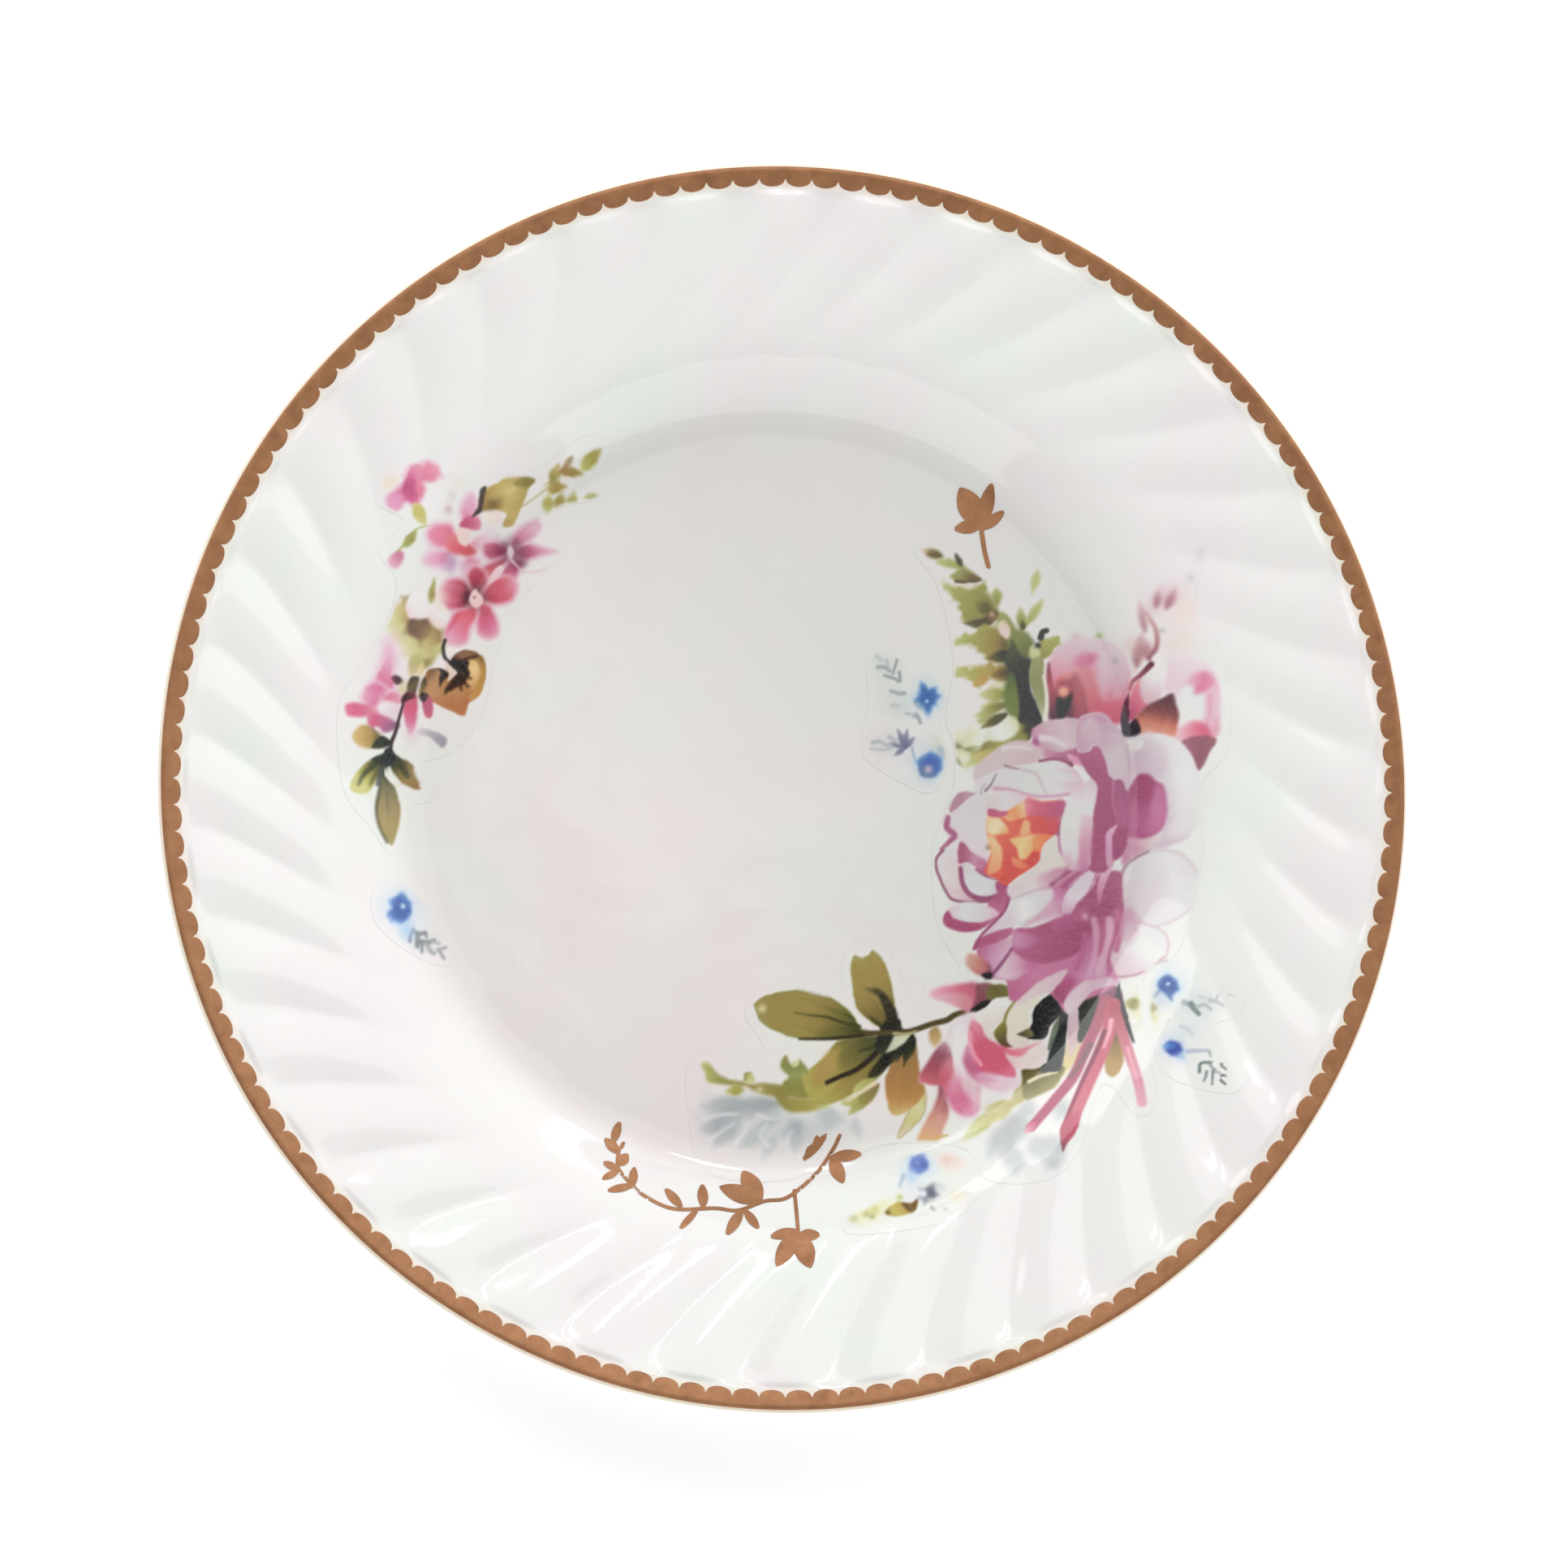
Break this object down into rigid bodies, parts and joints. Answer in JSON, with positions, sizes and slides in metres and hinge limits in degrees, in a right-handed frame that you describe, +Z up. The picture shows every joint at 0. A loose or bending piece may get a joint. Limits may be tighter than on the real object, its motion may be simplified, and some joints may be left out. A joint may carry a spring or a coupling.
{
  "type": "china dinner plate",
  "caption": "Round china dinner plate with a flat well, swirl-fluted rim, scalloped gilt band and flower transfers, for serving and display.",
  "frame": {"origin": "centre of the foot ring, in the plane that the plate stands on", "axes": "+Z up out of the well; +Y towards the upright gilt sprig and away from the gilt branch; +X towards the peony"},
  "size_m": [0.27, 0.27, 0.0253],
  "materials": {
    "bisque": "bare fired porcelain, matt and slightly warm, seen only on the foot ring",
    "glaze": "clear glossy glaze over white porcelain",
    "gilt": "burnished bronze-gold, satin",
    "peony_print": "mauve peony, green leaves and pink stems, fired under gloss",
    "pink_print": "pink flowers and olive leaves, fired under gloss",
    "blue_print": "small blue flowers and grey sprigs, fired under gloss"
  },
  "bodies": {
    "root": {"porcelain_body": "bisque", "face_glaze": "glaze", "base_glaze": "glaze", "gilt_rim_band": "gilt", "upright_gilt_sprig": "gilt", "gilt_branch": "gilt", "flying_gilt_leaflet": "gilt", "peony_spray_transfer": "peony_print", "pink_spray_transfer": "pink_print", "left_blue_sprig_transfer": "blue_print", "well_blue_sprig_transfer": "blue_print", "right_blue_sprig_transfer": "blue_print", "lower_blue_sprig_transfer": "blue_print"}
  },
  "joints": []
}
